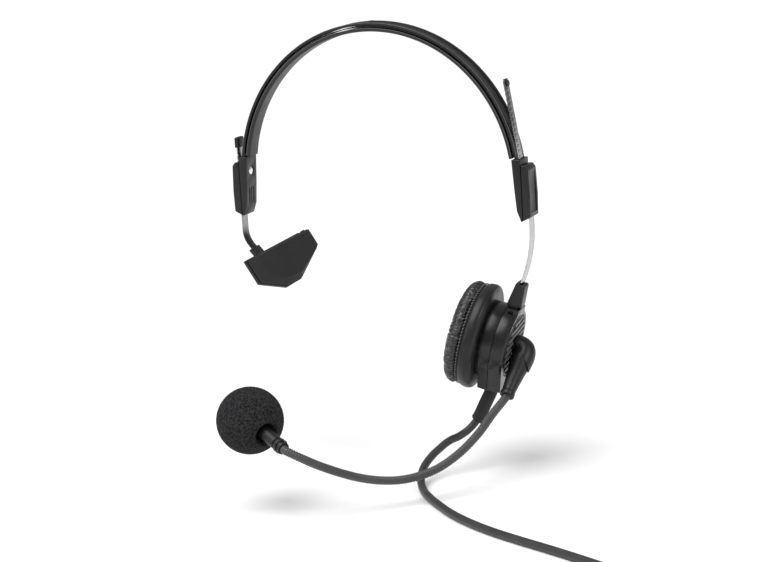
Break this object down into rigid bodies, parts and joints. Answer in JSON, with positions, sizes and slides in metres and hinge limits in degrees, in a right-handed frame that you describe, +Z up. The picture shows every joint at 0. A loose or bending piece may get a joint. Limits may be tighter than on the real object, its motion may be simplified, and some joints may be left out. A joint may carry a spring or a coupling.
{
  "type": "single-sided office headset with boom microphone",
  "caption": "Office headset: sprung headband, temple pad on a sliding steel strap, one cushioned earphone, gooseneck boom with foam windscreen, coiled cord and round locking connector.",
  "frame": {"origin": "inside of the headband at its crown, where the head carries it", "axes": "upright as worn: +Z up, +X to the earphone side, -Y to the front of the head"},
  "size_m": [0.3307, 0.2965, 0.2508],
  "materials": {
    "black_plastic": "satin black moulded plastic",
    "grey_plastic": "satin dark grey moulded plastic",
    "spring_steel": "bright rolled spring steel with fine lengthwise lines",
    "rivet_steel": "bright plated rivet steel",
    "pad_rubber": "smooth dark grey moulded rubber",
    "brass": "wound enamelled wire",
    "leatherette": "soft black leatherette with fine wrinkles",
    "foam": "black open-cell acoustic foam",
    "boom_jacket": "dark grey jacket with fine cross ribs",
    "cord_jacket": "smooth black cord jacket",
    "rubber": "matt black rubber",
    "nickel": "satin nickel plating",
    "magnet": "plated magnet and its cup",
    "film": "thin translucent film",
    "board": "green coated wiring board"
  },
  "bodies": {
    "ear_cup": {"baffle": "black_plastic", "boom_bush": "grey_plastic", "cushion_ring": "black_plastic", "driver_diaphragm": "film", "driver_frame": "grey_plastic", "driver_magnet": "magnet", "driver_voice_coil": "brass", "ear_cushion": "leatherette", "grille": "black_plastic", "grille_foam": "foam", "housing_screw_1": "rivet_steel", "housing_screw_2": "rivet_steel", "inner_housing": "black_plastic", "outer_housing": "black_plastic", "strain_relief": "rubber", "tilt_pin": "rivet_steel", "wiring_board": "board", "cord_lead": "cord_jacket", "cord_coil": "cord_jacket", "coil_tie": "rubber", "cord_tail": "cord_jacket", "connector_boot": "rubber", "connector_shell": "nickel", "connector_insert": "black_plastic"},
    "earphone_strap": {"earphone_strap": "spring_steel", "earphone_strap_stop": "black_plastic", "yoke_fin": "black_plastic"},
    "headband": {"band_outer_layer": "black_plastic", "band_inner_layer": "grey_plastic", "band_spring_strip": "spring_steel", "crown_rivet": "black_plastic", "earphone_clamp_block": "black_plastic", "earphone_clamp_cover": "grey_plastic", "earphone_clamp_rivet": "rivet_steel", "earphone_clamp_detent_spring": "spring_steel", "temple_clamp_block": "black_plastic", "temple_clamp_cover": "grey_plastic", "temple_clamp_rivet": "rivet_steel", "temple_clamp_detent_spring": "spring_steel"},
    "temple_strap": {"temple_strap": "spring_steel", "temple_strap_stop": "black_plastic", "temple_strap_knuckle": "black_plastic"},
    "temple_pad": {"temple_pad": "pad_rubber", "temple_pad_holder": "grey_plastic", "temple_pad_pin": "rivet_steel"},
    "boom": {"boom_cap": "black_plastic", "boom_sleeve": "black_plastic", "boom_pivot_stud": "grey_plastic", "gooseneck": "boom_jacket", "mic_collar": "black_plastic", "mic_collar_clip": "rivet_steel", "mic_housing": "black_plastic", "mic_capsule": "nickel", "windscreen": "foam"},
    "connector_latch": {"connector_latch": "black_plastic"}
  },
  "joints": [
    {"name": "cup_tilt", "type": "hinge", "parent": "ear_cup", "child": "earphone_strap", "pos_m": [0.07633, 0.00003, -0.15537], "axis": [-0.0958, 0.9954, 0], "range_deg": [-6, 6]},
    {"name": "earphone_slide", "type": "slide", "parent": "earphone_strap", "child": "headband", "axis": [-0.153, 0, 0.9882], "range_m": [-0.008, 0.036]},
    {"name": "temple_slide", "type": "slide", "parent": "headband", "child": "temple_strap", "axis": [0, 0, -1], "range_m": [-0.009, 0.0075]},
    {"name": "temple_pad_pivot", "type": "hinge", "parent": "temple_strap", "child": "temple_pad", "pos_m": [-0.0785, 0, -0.13], "axis": [0, 1, 0], "range_deg": [-15, 15]},
    {"name": "boom_swivel", "type": "hinge", "parent": "ear_cup", "child": "boom", "pos_m": [0.0552, -0.002, -0.17], "axis": [-0.9588, -0.0923, 0.2687], "range_deg": [-3, 90]},
    {"name": "latch_press", "type": "slide", "parent": "ear_cup", "child": "connector_latch", "axis": [0, 0, -1], "range_m": [0, 0.0012], "stiffness_N_per_m": 800}
  ]
}
